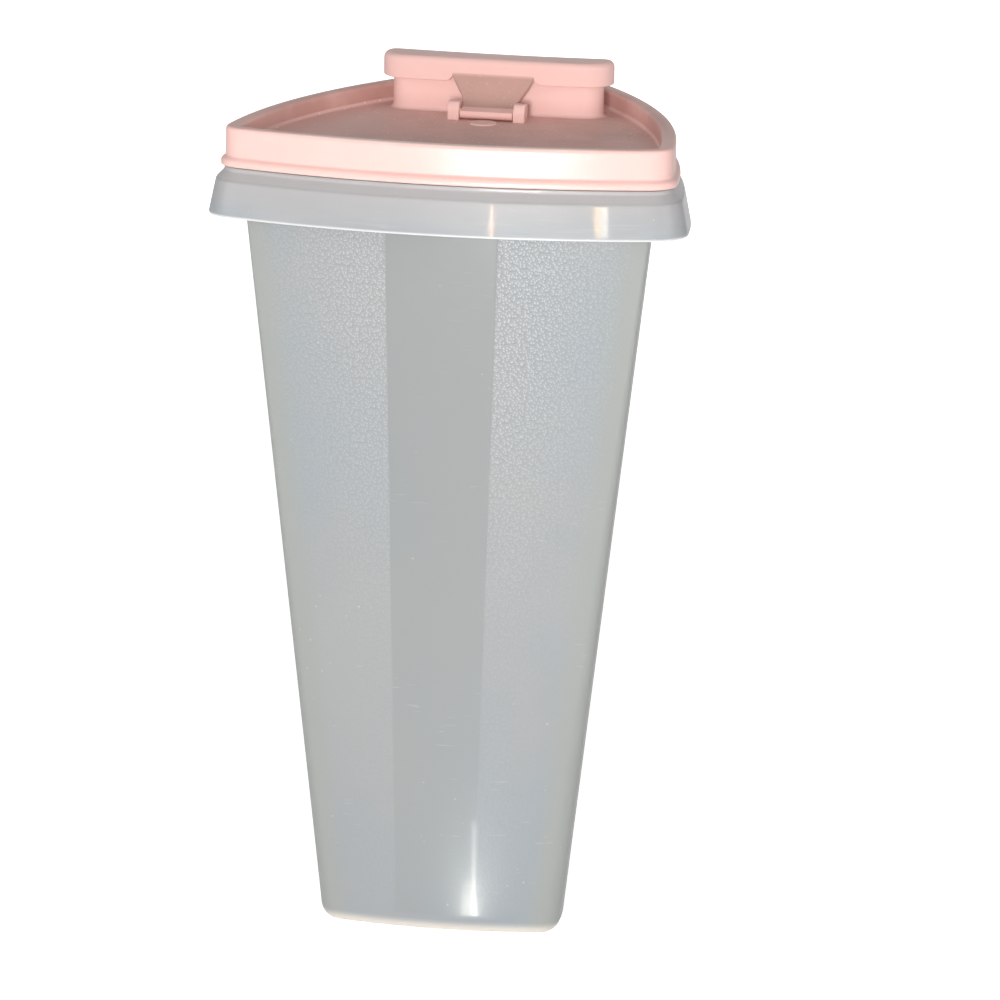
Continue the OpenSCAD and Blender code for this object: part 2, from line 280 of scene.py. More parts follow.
def pink_plastic(name, col=(238, 196, 189), rough=0.38, wear=0.0, soil_and_shade=0.0, grain=0.0, spec=0.45, painted_top_light=None, painted_shading=False, painted_light_x=None):
    m, nt, p, co = base_mat(name)
    big = noise(nt, co, 18.0, 2.0)
    fine = noise(nt, co, 900.0, 2.0)
    c0 = srgb(*col)
    c1 = srgb(col[0] - 4, col[1] - 7, col[2] - 7)
    c = mixc(nt, ramp(nt, big, 0.35, 0.7), c0, c1)
    # soiling and painted shade: a faint brownish film, patchy
    if soil_and_shade > 0:
        patch = ramp(nt, noise(nt, co, 45.0, 4.0, 0.6), 0.25, 0.75)
        grit = ramp(nt, noise(nt, co, 1300.0, 1.0), 0.45, 0.75)
        f = mathn(nt, "MULTIPLY", mathn(nt, "ADD", mathn(nt, "MULTIPLY", patch, 0.8), mathn(nt, "MULTIPLY", grit, 0.2)), soil_and_shade, clamp=True)
        # painted light: the darkening fades out towards -x between the two given x, so the left part is lighter
        if painted_light_x:
            sx = node(nt, "ShaderNodeSeparateXYZ")
            nt.links.new(co, sx.inputs[0])
            f = mathn(nt, "MULTIPLY", f, ramp(nt, sx.outputs["X"], painted_light_x[0], painted_light_x[1]))
        c = mixc(nt, f, c, srgb(col[0] - 62, col[1] - 52, col[2] - 58))
    if painted_shading:
        # painted shade: darker where the mask is set, a little cloudy
        cloudy = ramp(nt, noise(nt, co, 60.0, 3.0, 0.6), 0.3, 0.6)
        c = mixc(nt, mathn(nt, "MULTIPLY", attr(nt, "painted_shading"), mathn(nt, "ADD", mathn(nt, "MULTIPLY", cloudy, 0.4), 0.6)), c, srgb(col[0] - 34, col[1] - 38, col[2] - 40))
        # painted highlight: lighter along the front of the rim top
        c = mixc(nt, attr(nt, "front_rim_highlight"), c, srgb(255, 226, 220))
    if painted_top_light:
        # painted light: lighter above the given height
        sep = node(nt, "ShaderNodeSeparateXYZ")
        nt.links.new(co, sep.inputs[0])
        c = mixc(nt, ramp(nt, sep.outputs["Z"], painted_top_light[0], painted_top_light[1]), c, srgb(*painted_top_light[2]))
    # scuffs: thin pale scratches and specks
    st = node(nt, "ShaderNodeMapping")
    st.inputs["Scale"].default_value = (1.0, 0.12, 1.0)
    st.inputs["Rotation"].default_value = (0.0, 0.0, 0.5)
    nt.links.new(co, st.inputs["Vector"])
    scr = ramp(nt, noise(nt, st.outputs[0], 1400.0, 1.0), 0.70, 0.76)
    spot = node(nt, "ShaderNodeTexVoronoi")
    spot.inputs["Scale"].default_value = 420.0
    nt.links.new(co, spot.inputs["Vector"])
    dots = mathn(nt, "SUBTRACT", 1.0, ramp(nt, spot.outputs["Distance"], 0.07, 0.17), clamp=True)
    rare = ramp(nt, noise(nt, co, 75.0, 1.0), 0.40, 0.50)
    marks = mathn(nt, "MAXIMUM", mathn(nt, "MULTIPLY", scr, 0.3), mathn(nt, "MULTIPLY", dots, rare))
    marks = mathn(nt, "MULTIPLY", marks, wear)
    c = mixc(nt, marks, c, srgb(255, 250, 246))
    nt.links.new(c, p.inputs["Base Color"])
    r = mathn(nt, "ADD", mathn(nt, "MULTIPLY", fine, 0.10), rough - 0.05)
    r = mathn(nt, "ADD", r, mathn(nt, "MULTIPLY", marks, 0.2), clamp=True)
    nt.links.new(r, p.inputs["Roughness"])
    n1 = bump(nt, fine, 0.10 + grain, 0.0002)
    n2 = bump(nt, noise(nt, co, 120.0, 1.0), 0.10, 0.0004, n1)
    nt.links.new(n2, p.inputs["Normal"])
    p.inputs["Subsurface Weight"].default_value = 0.12
    p.inputs["Subsurface Radius"].default_value = (1.0, 0.6, 0.5)
    p.inputs["Subsurface Scale"].default_value = 0.0012
    p.inputs["Specular IOR Level"].default_value = spec
    p.inputs["IOR"].default_value = 1.5
    return m

def attr(nt, name):
    return node(nt, "ShaderNodeAttribute", attribute_name=name).outputs["Fac"]

def sheer_plastic(name, col, rough=0.42, wall=True, coat=0.2, coat_rough=0.085):
    """Frosted polyethylene. The wall has a pebbled grain with painted light and shade beside a smooth band, a painted
    glow on its rounded corners and a painted highlight along its base.
    """
    m, nt, p, co = base_mat(name)
    big = noise(nt, co, 14.0, 3.0)
    c = mixc(nt, ramp(nt, big, 0.35, 0.65), srgb(col[0] + 2, col[1] + 1, col[2] + 1), srgb(col[0] - 6, col[1] - 1, col[2] + 3))
    fine = noise(nt, co, 700.0, 2.0)
    n1 = bump(nt, fine, 0.06, 0.0002)
    # fine rubbing marks and specks
    spot = node(nt, "ShaderNodeTexVoronoi")
    spot.inputs["Scale"].default_value = 300.0
    nt.links.new(co, spot.inputs["Vector"])
    dots = mathn(nt, "SUBTRACT", 1.0, ramp(nt, spot.outputs["Distance"], 0.05, 0.12), clamp=True)
    rare = ramp(nt, noise(nt, co, 40.0, 1.0), 0.56, 0.62)
    marks = mathn(nt, "MULTIPLY", mathn(nt, "MULTIPLY", dots, rare), 0.35)
    st = node(nt, "ShaderNodeMapping")
    st.inputs["Scale"].default_value = (0.08, 0.4, 1.0)
    nt.links.new(co, st.inputs["Vector"])
    scr = mathn(nt, "MULTIPLY", ramp(nt, noise(nt, st.outputs[0], 1500.0, 1.0), 0.70, 0.77), ramp(nt, noise(nt, co, 26.0, 1.0), 0.50, 0.62))
    marks = mathn(nt, "MAXIMUM", marks, mathn(nt, "MULTIPLY", scr, 0.16))
    if wall:
        g = attr(nt, "grain")
        c = mixc(nt, mathn(nt, "MULTIPLY", attr(nt, "band"), 0.9), c, srgb(col[0] - 13, col[1] - 12, col[2] - 13))
        # painted glow: a warm tint on the rounded corners for light shining through the plastic there
        c = mixc(nt, attr(nt, "corner_glow"), c, srgb(col[0] - 1, col[1], col[2] - 4))
        # painted highlight: a bright strip along the base
        c = mixc(nt, attr(nt, "foot"), c, srgb(col[0] + 84, col[1] + 73, col[2] + 62))
        # pebbles lie in the plane of the front wall
        sep = node(nt, "ShaderNodeSeparateXYZ")
        nt.links.new(co, sep.inputs[0])
        flat = node(nt, "ShaderNodeCombineXYZ")
        nt.links.new(sep.outputs["X"], flat.inputs["X"])
        nt.links.new(sep.outputs["Z"], flat.inputs["Y"])
        jit = node(nt, "ShaderNodeTexNoise", noise_dimensions="2D")
        jit.inputs["Scale"].default_value = 300.0
        jit.inputs["Detail"].default_value = 1.0
        nt.links.new(flat.outputs[0], jit.inputs["Vector"])
        off = node(nt, "ShaderNodeVectorMath", operation="SCALE")
        nt.links.new(jit.outputs["Color"], off.inputs[0])
        off.inputs["Scale"].default_value = 0.0006
        bent = node(nt, "ShaderNodeVectorMath", operation="ADD")
        nt.links.new(flat.outputs[0], bent.inputs[0])
        nt.links.new(off.outputs[0], bent.inputs[1])
        dome = []
        for dx, dy in ((0.0, 0.0), (0.00016, -0.00023)):
            mv = node(nt, "ShaderNodeVectorMath", operation="ADD")
            nt.links.new(bent.outputs[0], mv.inputs[0])
            mv.inputs[1].default_value = (dx, dy, 0.0)
            vo = node(nt, "ShaderNodeTexVoronoi", feature="SMOOTH_F1", voronoi_dimensions="2D")
            vo.inputs["Smoothness"].default_value = 0.22
            vo.inputs["Scale"].default_value = 1040.0
            vo.inputs["Randomness"].default_value = 0.9
            nt.links.new(mv.outputs[0], vo.inputs["Vector"])
            dome.append(vo.outputs["Distance"])
        peb = mathn(nt, "SUBTRACT", 1.0, mathn(nt, "MULTIPLY", dome[0], dome[0]), clamp=True)
        n1 = bump(nt, mathn(nt, "MULTIPLY", peb, g), 0.9, 0.00035, n1)
        # painted light and shade on each pebble: lighter on its upper-left side, darker on its lower-right
        lit = mathn(nt, "MULTIPLY", mathn(nt, "SUBTRACT", dome[0], dome[1]), 1.9, clamp=True)
        shade = mathn(nt, "MULTIPLY", mathn(nt, "SUBTRACT", dome[1], dome[0]), 1.9, clamp=True)
        c = mixc(nt, mathn(nt, "MULTIPLY", shade, g), c, srgb(col[0] - 34, col[1] - 32, col[2] - 30))
        c = mixc(nt, mathn(nt, "MULTIPLY", lit, g), c, srgb(col[0] + 16, col[1] + 16, col[2] + 17))
        # painted highlight on each pebble's tip
        tip_glint = mathn(nt, "SUBTRACT", 1.0, ramp(nt, dome[0], 0.04, 0.34), clamp=True)
        c = mixc(nt, mathn(nt, "MULTIPLY", tip_glint, g), c, srgb(col[0] + 64, col[1] + 65, col[2] + 67))
        rr = mathn(nt, "ADD", mathn(nt, "MULTIPLY", g, 0.06), rough - 0.02)
    else:
        # cloudy, see-through look: soft patches drawn out along the rim
        cloud = node(nt, "ShaderNodeMapping")
        cloud.inputs["Scale"].default_value = (0.35, 0.35, 1.6)
        nt.links.new(co, cloud.inputs["Vector"])
        c = mixc(nt, mathn(nt, "MULTIPLY", ramp(nt, noise(nt, cloud.outputs[0], 90.0, 3.0), 0.35, 0.7), 0.6), c, srgb(col[0] + 12, col[1] + 12, col[2] + 12))
        hair = node(nt, "ShaderNodeMapping")
        hair.inputs["Scale"].default_value = (0.05, 0.05, 1.0)
        nt.links.new(co, hair.inputs["Vector"])
        hairs = mathn(nt, "MULTIPLY", ramp(nt, noise(nt, hair.outputs[0], 900.0, 3.0, 0.6), 0.52, 0.72), ramp(nt, noise(nt, co, 30.0, 2.0), 0.42, 0.62))
        c = mixc(nt, mathn(nt, "MULTIPLY", hairs, 0.5), c, srgb(col[0] + 26, col[1] + 24, col[2] + 22))
        # doubled plastic and painted light: lighter from the middle of the skirt up
        c = mixc(nt, attr(nt, "warm"), c, srgb(col[0] + 12, col[1] + 8, col[2] + 7))
        # painted light: the shoulder lighter still
        c = mixc(nt, attr(nt, "shoulder"), c, srgb(col[0] + 20, col[1] + 16, col[2] + 15))
        # painted shade: thin dark lines in the groove and under the bead
        c = mixc(nt, mathn(nt, "MULTIPLY", attr(nt, "line"), 0.4), c, srgb(col[0] - 22, col[1] - 23, col[2] - 24))
        # painted highlight: a bright line along the bottom lip
        c = mixc(nt, attr(nt, "lip"), c, srgb(col[0] + 66, col[1] + 63, col[2] + 62))
        rr = mathn(nt, "ADD", mathn(nt, "MULTIPLY", fine, 0.06), rough - 0.03)
    c = mixc(nt, marks, c, srgb(236, 236, 234))
    nt.links.new(c, p.inputs["Base Color"])
    nt.links.new(rr, p.inputs["Roughness"])
    nt.links.new(n1, p.inputs["Normal"])
    p.inputs["Subsurface Weight"].default_value = 0.15
    p.inputs["Subsurface Radius"].default_value = (1.0, 0.95, 0.85)
    p.inputs["Subsurface Scale"].default_value = 0.0015
    p.inputs["Transmission Weight"].default_value = 0.16
    p.inputs["IOR"].default_value = 1.5
    p.inputs["Specular IOR Level"].default_value = 0.5
    p.inputs["Coat Weight"].default_value = coat
    p.inputs["Coat Roughness"].default_value = coat_rough
    return m

MAT_PINK = pink_plastic("pink_polyethylene", col=(238, 198, 192), wear=0.07)
MAT_LID = pink_plastic("pink_polyethylene_lid", col=(238, 198, 192), wear=0.07, painted_shading=True)
# the deck is darkened by soiling and painted shade, with painted light towards its left where the darkening fades out
MAT_DECK = pink_plastic("pink_polyethylene_deck", rough=0.5, wear=1.0, soil_and_shade=0.45, spec=0.25, painted_light_x=(-0.05, -0.012))
# painted shade: the strap's colour is darker than the other pink parts and takes the patchy darkening too; painted
# light makes its top lighter
MAT_STRAP = pink_plastic("pink_polyethylene_strap", col=(196, 159, 150), rough=0.5, wear=0.1, soil_and_shade=0.25, spec=0.3, painted_top_light=((DECK_Z + 11.1) * MM, (DECK_Z + 12.2) * MM, (226, 182, 174)))
MAT_WALL = sheer_plastic("sheer_polyethylene_wall", (167, 170, 172), coat=0.3)
MAT_RIM = sheer_plastic("sheer_polyethylene_rim", (170, 173, 176), rough=0.46, wall=False, coat=0.3, coat_rough=0.06)

def done(ob, body, slot, mat, *nodes):
    ob.data.materials.clear()
    ob.data.materials.append(mat)
    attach(ob, body)
    if nodes:
        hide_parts(*nodes)
    return ob

# ---------------------------------------------------------------- container wall
BAND_TOP, BAND_BOT = 16.6, 11.3   # half width of the smooth band at the skirt and at the base
def mix_ring(z, off, fr):
    k = max((z - BASE_R) / (SKIRT_Z - BASE_R), 0.0)
    b, t = plan(BASE_S, off, fr), plan(LID_S, off - BODY_IN, fr)
    return [(p[0] * (1 - k) + q[0] * k, p[1] * (1 - k) + q[1] * k) for p, q in zip(b, t)]

def t_for_x(z, x):
    lo, hi = 0.0, 1.0
    for _ in range(40):
        mid = (lo + hi) / 2
        if mix_ring(z, 0.0, [[mid], [], [], [], [], []])[0][0] < x:
            lo = mid
        else:
            hi = mid
    return (lo + hi) / 2

def wall_fr(z):
    zz = min(max(z, 0.0), SKIRT_Z)
    w = BAND_BOT + (BAND_TOP - BAND_BOT) * zz / SKIRT_Z
    e = 0.35
    l0, l1 = t_for_x(zz, -w - e), t_for_x(zz, -w + e)
    r0, r1 = 1 - l1, 1 - l0
    seg = lambda a, b, n: [a + (b - a) * i / n for i in range(n)]
    front = seg(0.0, l0, 24) + seg(l0, l1, 4) + seg(l1, r0, 24) + seg(r0, r1, 4) + seg(r1, 1.0, 24)
    A, C, S, B = FINE
    return [front, even(C), even(S), even(B), even(S), even(C)]

N_FRONT = 24 + 4 + 24 + 4 + 24
def sstep(x):
    x = min(max(x, 0.0), 1.0)
    return x * x * (3 - 2 * x)

def panel(i, z):
    """1 on the pebbled panels beside the smooth band, 0 on the band and round the corners."""
    if i > N_FRONT:
        return 0.0
    if i <= 24:
        a = sstep(i / 5.0)
    elif i < 28:
        a = 1 - sstep((i - 24) / 4.0)
    elif i <= 52:
        a = 0.0
    elif i < 56:
        a = sstep((i - 52) / 4.0)
    else:
        a = sstep((N_FRONT - i) / 5.0)
    return a * sstep((z - 5) / 7.0) * sstep((SKIRT_Z + 1 - z) / 2.0)

def outer(z, off=0.0, raised=True):
    fr = wall_fr(z)
    pts = mix_ring(z, off, fr)
    out = []
    for i, (x, y) in enumerate(pts):
        d = 0.03 * panel(i, z) * sstep((z - 35) / 20.0) if raised else 0.0
        out.append((x, y - d, z))
    return out

def base_pts(off, z):
    return [(x, y, z) for x, y in plan(BASE_S, off, wall_fr(0.0))]

rings, zs = [], []
rings += [base_pts(-BASE_R - 4.5, 0.9), base_pts(-BASE_R - 3.3, 0.05), base_pts(-BASE_R - 2.9, 0.0), base_pts(-BASE_R, 0.0)]
for k in range(1, 11):
    t = math.radians(9 * k)
    rings.append(base_pts(-BASE_R * (1 - math.sin(t)), BASE_R * (1 - math.cos(t))))
n_out0 = len(rings)
for k in range(1, 61):
    z = BASE_R + (SKIRT_Z + 2 - BASE_R) * k / 60
    rings.append(outer(z))
fr_top = wall_fr(SKIRT_Z)
neck_top = LID_TOP - LID_T - 0.15
neck = [outer(SKIRT_Z + 4, raised=False), ring(-4.6, SKIRT_Z + 6.1, fr_top), ring(-2.9, SKIRT_Z + 8, fr_top), ring(-1.55, SKIRT_Z + 9.1, fr_top),
        ring(-1.55, neck_top, fr_top), ring(-2.85, neck_top, fr_top), ring(-2.85, SKIRT_Z + 10, fr_top), ring(-4.4, SKIRT_Z + 8.9, fr_top),
        ring(-6, SKIRT_Z + 7, fr_top), outer(SKIRT_Z + 4, -WALL, False)]
neck = hold(round_columns(neck, [0, 0.8, 0.8, 0.6, 0.45, 0.45, 0.6, 0.8, 0.8, 0], 3, closed=False), closed=False)
rings += neck
for k in range(19, 0, -1):
    z = BASE_R + (SKIRT_Z - BASE_R) * k / 20
    rings.append(outer(z, -WALL, False))
for k in range(9, -1, -1):
    t = math.radians(10 * k)
    rings.append(base_pts(-WALL - (BASE_R - 1) * (1 - math.sin(t)), FLOOR_T + (BASE_R - 1) * (1 - math.cos(t))))
wall = loft("container_wall", rings, 40)
def put(ob, name, vals):
    at = ob.data.attributes.new(name, "FLOAT", "POINT")
    at.data.foreach_set("value", vals)

# grain strength of the pebbled panels (strongest near the top), the smooth band, the painted glow on the rounded
# corners and the painted highlight along the base
n_col = len(rings[0])
gv, bv, tv, fv = ([0.0] * len(wall.data.vertices) for _ in range(4))
A_, C_, S_, B_ = FINE
for j in range(len(rings)):
    for i in range(n_col):
        z = rings[j][i][2]
        q = j * n_col + i
        if n_out0 - 1 <= j < n_out0 + 60:
            near = i / 24.0 if i <= 24 else (N_FRONT - i) / 24.0
            gv[q] = panel(i, z) * (0.12 + 0.88 * sstep((z - 70) / 140.0)) * (0.3 + 0.7 * sstep(near * 1.25 - 0.1)) * (0.6 if i <= 24 else 0.8)
            if 24 <= i <= 56:
                bv[q] = 1 - panel(i, z) if (i <= 28 or i >= 52) else 1.0
                bv[q] *= 0.35 + 0.65 * sstep((z - 10) / 170.0)
        if i <= N_FRONT:
            d = min(i, N_FRONT - i) / 7.0
        elif i < N_FRONT + C_ or i >= n_col - C_:
            d = 0.0
        else:
            d = min(i - N_FRONT - C_, n_col - C_ - i) / 6.0
        tv[q] = 1 - sstep(d)
        fv[q] = 1 - sstep((z - 0.6) / 3.6) if j < n_out0 + 4 else 0.0
put(wall, "foot", fv)
put(wall, "grain", gv)
put(wall, "band", bv)
put(wall, "corner_glow", tv)
done(wall, "container", "sheer_plastic", MAT_WALL, "container_shell")

# ---------------------------------------------------------------- rim skirt
prof = [(-1.55, SKIRT_Z + 10.8, 0), (-0.4, SKIRT_Z + 10.8, 0.5), (1.35, SKIRT_Z + 9.2, 0.7), (SKIRT_OUT - 1.35, SKIRT_Z + 0.25, 0.15), (SKIRT_OUT - 1.1, SKIRT_Z, 0.12),
        (SKIRT_OUT - 0.15, SKIRT_Z, 0.12), (SKIRT_OUT, SKIRT_Z + 0.2, 0.15), (SKIRT_OUT - 0.06, SKIRT_Z + 0.7, 0.2), (2.75, SKIRT_Z + 9.9, 0.4), (2.45, SKIRT_Z + 10.5, 0.3),
        (0.3, SKIRT_Z + 12.7, 0.4), (0.3, BEAD_Z - 0.3, 0.3), (-1.55, BEAD_Z - 0.3, 0)]
skirt = band("container_skirt", hold(round_columns([ring(o, z) for o, z, r in prof], [r for o, z, r in prof], 4)))
# painted highlight on the bottom lip; doubled plastic and painted light on the warm band and the shoulder; thin painted
# shade lines between them and under the bead
heights = [v.co.z / MM - SKIRT_Z for v in skirt.data.vertices]
put(skirt, "lip", [1 - sstep((h - 0.2) / 0.7) for h in heights])
put(skirt, "warm", [sstep((h - 7.6) / 0.5) for h in heights])
put(skirt, "shoulder", [sstep((h - 10.4) / 0.5) for h in heights])
put(skirt, "line", [0.7 * sstep((h - 9.8) / 0.3) * (1 - sstep((h - 10.3) / 0.4)) + sstep((h - 12.9) / 0.4) for h in heights])
done(skirt, "container", "sheer_plastic", MAT_RIM, "container_rim_skirt")

# ---------------------------------------------------------------- lid channel and bead
prof = [(-LID_T, BEAD_Z, 0.1), (0, BEAD_Z, 0), (0, LID_TOP, 1.2), (-4.3, LID_TOP, 1.2), (-4.3, DECK_Z - 4, 0.3), (-3.15, DECK_Z - 4, 0.3), (-3.15, LID_TOP - LID_T, 0.2), (-LID_T, LID_TOP - LID_T, 0.2)]
channel = band("lid_channel", hold(round_columns([ring(o, z) for o, z, r in prof], [r for o, z, r in prof], 6)))
# painted shade on the inner wall and along the top, darker towards the rear corner, and a painted highlight along the
# front of the rim top
inner = []
for v in channel.data.vertices:
    x, y, z = v.co.x / MM, v.co.y / MM, v.co.z / MM
    inner.append((x, y, z))
edge_pts = plan(LID_S, -2.0)
def inside(x, y):
    hit = False
    for (x0, y0), (x1, y1) in zip(edge_pts, edge_pts[1:] + edge_pts[:1]):
        if (y0 > y) != (y1 > y) and x < (x1 - x0) * (y - y0) / (y1 - y0) + x0:
            hit = not hit
    return hit
put(channel, "front_rim_highlight", [sstep((z - LID_TOP + 0.5) / 0.4) * sstep((-56 - y) / 5.0) for x, y, z in inner])
put(channel, "painted_shading", [(1.0 if inside(x, y) else 0.55 * sstep((z - LID_TOP + 0.9) / 0.7)) * sstep((y + 62) / 60.0) for x, y, z in inner])
done(channel, "lid", "pink_plastic", MAT_LID, "lid_rim_channel")
prof = [(-0.6, BEAD_Z + 0.02, 0), (1.3, BEAD_Z + 0.02, 0.4), (1.4, BEAD_Z + 1.3, 0.6), (0.95, BEAD_Z + 2.1, 0.5), (-0.02, BEAD_Z + 2.7, 0.55), (-0.02, BEAD_Z + 3.6, 0), (-0.6, BEAD_Z + 3.6, 0)]
bead = band("lid_pull_bead", hold(round_columns([ring(o, z) for o, z, r in prof], [r for o, z, r in prof], 5), far=0.6))
done(bead, "lid", "pink_plastic", MAT_PINK, "lid_edge_bead")

# ---------------------------------------------------------------- deck: plate with a cove at its edge and the spout's throat
from mathutils.geometry import tessellate_polygon

def deck_mesh():
    cove = 0.9
    outer_r = [ring(-4.3, DECK_Z - DECK_T), ring(-4.3, DECK_Z + cove)]
    for k in range(1, 6):
        t = math.radians(90 - 18 * k)
        outer_r.append(ring(-4.3 - cove + cove * math.sin(t), DECK_Z + cove * (1 - math.cos(t))))
    outer_r.append(ring(-6.4, DECK_Z))
    inner_r = [t_ring(2.6, DECK_Z), t_ring(1.4, DECK_Z), t_ring(-LID_T, DECK_Z), t_ring(-LID_T, DECK_Z - DECK_T)]
    n = len(outer_r[0])
    v = [p for r in outer_r + inner_r for p in r]
    f = []
    def strip(j, l):
        for i in range(n):
            k = (i + 1) % n
            f.append((j * n + i, l * n + i, l * n + k, j * n + k))
    for j in range(len(outer_r) - 1):
        strip(j, j + 1)
    o = len(outer_r)
    for j in range(len(inner_r) - 1):
        strip(o + j, o + j + 1)
    for a, b in ((o - 1, o), (0, o + len(inner_r) - 1)):
        loops = [[Vector(v[a * n + i]) for i in range(n)], [Vector(v[b * n + i]) for i in range(n)]]
        idx = [a * n + i for i in range(n)] + [b * n + i for i in range(n)]
        for t in tessellate_polygon(loops):
            f.append(tuple(idx[i] for i in t))
    return fix(new_object("lid_deck_panel", v, f, 45))
deck = deck_mesh()
done(deck, "lid", "pink_plastic", MAT_DECK, "lid_deck")

# ---------------------------------------------------------------- spout tower
lip = CAP_T + 0.3
tr = [t_ring(-LID_T, DECK_Z + 0.02), t_ring(1.3, DECK_Z + 0.02)]
for k in range(1, 7):
    t = math.radians(15 * k)
    tr.append(t_ring(1.3 - 1.25 * math.sin(t), DECK_Z + 0.02 + 1.25 * (1 - math.cos(t))))
tr += [c_ring(0, lip + 0.35), c_ring(-0.1, lip + 0.1), c_ring(-0.35, lip), c_ring(-LID_T + 0.35, lip), c_ring(-LID_T + 0.1, lip + 0.1), c_ring(-LID_T, lip + 0.35)]
tower = band("spout_tower_wall", hold(tr), 45)
done(tower, "lid", "pink_plastic", MAT_PINK, "spout_tower")

# ---------------------------------------------------------------- hinge ears, button, knuckle
def side_solid(name, pts, x0, w, bev=0.25, seg=3):
    import bmesh
    bm = bmesh.new()
    lo = [bm.verts.new((x0 * MM, (H_Y + u) * MM, (DECK_Z + v) * MM)) for u, v in pts]
    hi = [bm.verts.new(((x0 + w) * MM, (H_Y + u) * MM, (DECK_Z + v) * MM)) for u, v in pts]
    n = len(pts)
    bm.faces.new(lo)
    bm.faces.new(list(reversed(hi)))
    for i in range(n):
        k = (i + 1) % n
        bm.faces.new((lo[k], lo[i], hi[i], hi[k]))
    bmesh.ops.recalc_face_normals(bm, faces=bm.faces)
    edges = [e for e in bm.edges if abs(e.calc_face_angle(0.0)) > math.radians(30)]
    bmesh.ops.bevel(bm, geom=edges, offset=bev * MM, segments=seg, profile=0.5, affect="EDGES", clamp_overlap=True)
    me = bpy.data.meshes.new(name)
    bm.to_mesh(me)
    bm.free()
    for p in me.polygons:
        p.use_smooth = True
    me.set_sharp_from_angle(angle=math.radians(40))
    ob = bpy.data.objects.new(name, me)
    bpy.context.scene.collection.objects.link(ob)
    return ob

EAR = [(-2.2, 0), (3, 0), (2.75, 1.2), (3, 4.4), (2.6, 5.1), (0.6, 5.35), (-0.7, 5.2), (-1.5, 4.6), (-2, 3.7), (-2.2, 2.6)]
def bored(ob, xc):
    """Cut the trunnion's hole through an ear."""
    import bmesh
    bm = bmesh.new()
    bmesh.ops.create_cone(bm, cap_ends=True, cap_tris=False, segments=48, radius1=1.06 * MM, radius2=1.06 * MM, depth=(EAR_W + 2) * MM,
                          matrix=Matrix.Translation((xc * MM, H_Y * MM, H_Z * MM)) @ Matrix.Rotation(math.pi / 2, 4, "Y"))
    me = bpy.data.meshes.new("bore_cutter")
    bm.to_mesh(me)
    bm.free()
    cut = bpy.data.objects.new("bore_cutter", me)
    bpy.context.scene.collection.objects.link(cut)
    mod = ob.modifiers.new("bore", "BOOLEAN")
    mod.operation = "DIFFERENCE"
    mod.solver = "EXACT"
    mod.object = cut
    dg = bpy.context.evaluated_depsgraph_get()
    new = bpy.data.meshes.new_from_object(ob.evaluated_get(dg))
    ob.modifiers.clear()
    ob.data = new
    bpy.data.objects.remove(cut, do_unlink=True)
    for p in new.polygons:
        p.use_smooth = True
    new.set_sharp_from_angle(angle=math.radians(40))
    return ob

done(bored(side_solid("hinge_ear_l", EAR, -EAR_GAP / 2 - EAR_W, EAR_W), -EAR_GAP / 2 - EAR_W / 2), "lid", "pink_plastic", MAT_PINK, "hinge_ear_left")
done(bored(side_solid("hinge_ear_r", EAR, EAR_GAP / 2, EAR_W), EAR_GAP / 2 + EAR_W / 2), "lid", "pink_plastic", MAT_PINK, "hinge_ear_right")

def disc(name, cx, cy, z0, prof, n=72):
    rings = [[(cx + r * math.cos(2 * math.pi * i / n), cy + r * math.sin(2 * math.pi * i / n), z0 + h) for i in range(n)] for r, h in prof]
    return loft(name, rings, 40)
btn = disc("gate_button", 0.0, H_Y - 5.6, DECK_Z, [(3.9, 0), (3.9, 0.25), (3.82, 0.38), (3.6, 0.48), (3.2, 0.55), (2.2, 0.59), (1.0, 0.6), (0.3, 0.6)])
done(btn, "lid", "pink_plastic", MAT_PINK, "deck_button")

S_W = EAR_GAP / 2 - 0.3
KN = [(-2.05, 1.5), (-1.6, 0.85), (-0.8, 0.45), (0.6, 0.5), (1.2, 0.9), (1.2, 3.55), (0, 3.15), (-1.4, 2.9), (-1.95, 2.8), (-2.05, 2.65)]
done(side_solid("knuckle_bar", KN, -S_W, 2 * S_W, 0.08, 2), "flip_cap", "pink_plastic", MAT_PINK, "hinge_knuckle")

# ---------------------------------------------------------------- strap
S_U1 = HINGE_FWD - CAP_OVER
UP = [(1.2, 3.55, S_W), (2.3, 4, S_W), (3.3, 4.55, S_W + 0.1), (4.3, 5.25, S_W + 0.4), (5.4, 6.35, S_W + 1), (6.3, 7.75, S_W + 1.9), (7, 9.4, S_W + 2.9), (S_U1, 12.1, 12.1)]
DN = [(1.2, 0.9, S_W), (2.5, 2.3, S_W), (3.9, 3.25, S_W + 0.1), (5.1, 4.1, S_W + 0.4), (6.2, 5.2, S_W + 1), (7, 6.6, S_W + 1.9), (7.4, 8.1, S_W + 2.9), (S_U1, CAP_Z + 1.5, 12.1)]
def spline(pts, n):
    out = []
    m = len(pts)
    for i in range(m - 1):
        p0, p1, p2, p3 = (Vector(pts[max(i - 1, 0)]), Vector(pts[i]), Vector(pts[i + 1]), Vector(pts[min(i + 2, m - 1)]))
        for k in range(n):
            t = k / n
            out.append(0.5 * ((2 * p1) + (p2 - p0) * t + (2 * p0 - 5 * p1 + 4 * p2 - p3) * t * t + (3 * p1 - p0 - 3 * p2 + p3) * t ** 3))
    out.append(Vector(pts[-1]))
    return out
up, dn = spline(UP, 5), spline(DN, 5)
srings = []
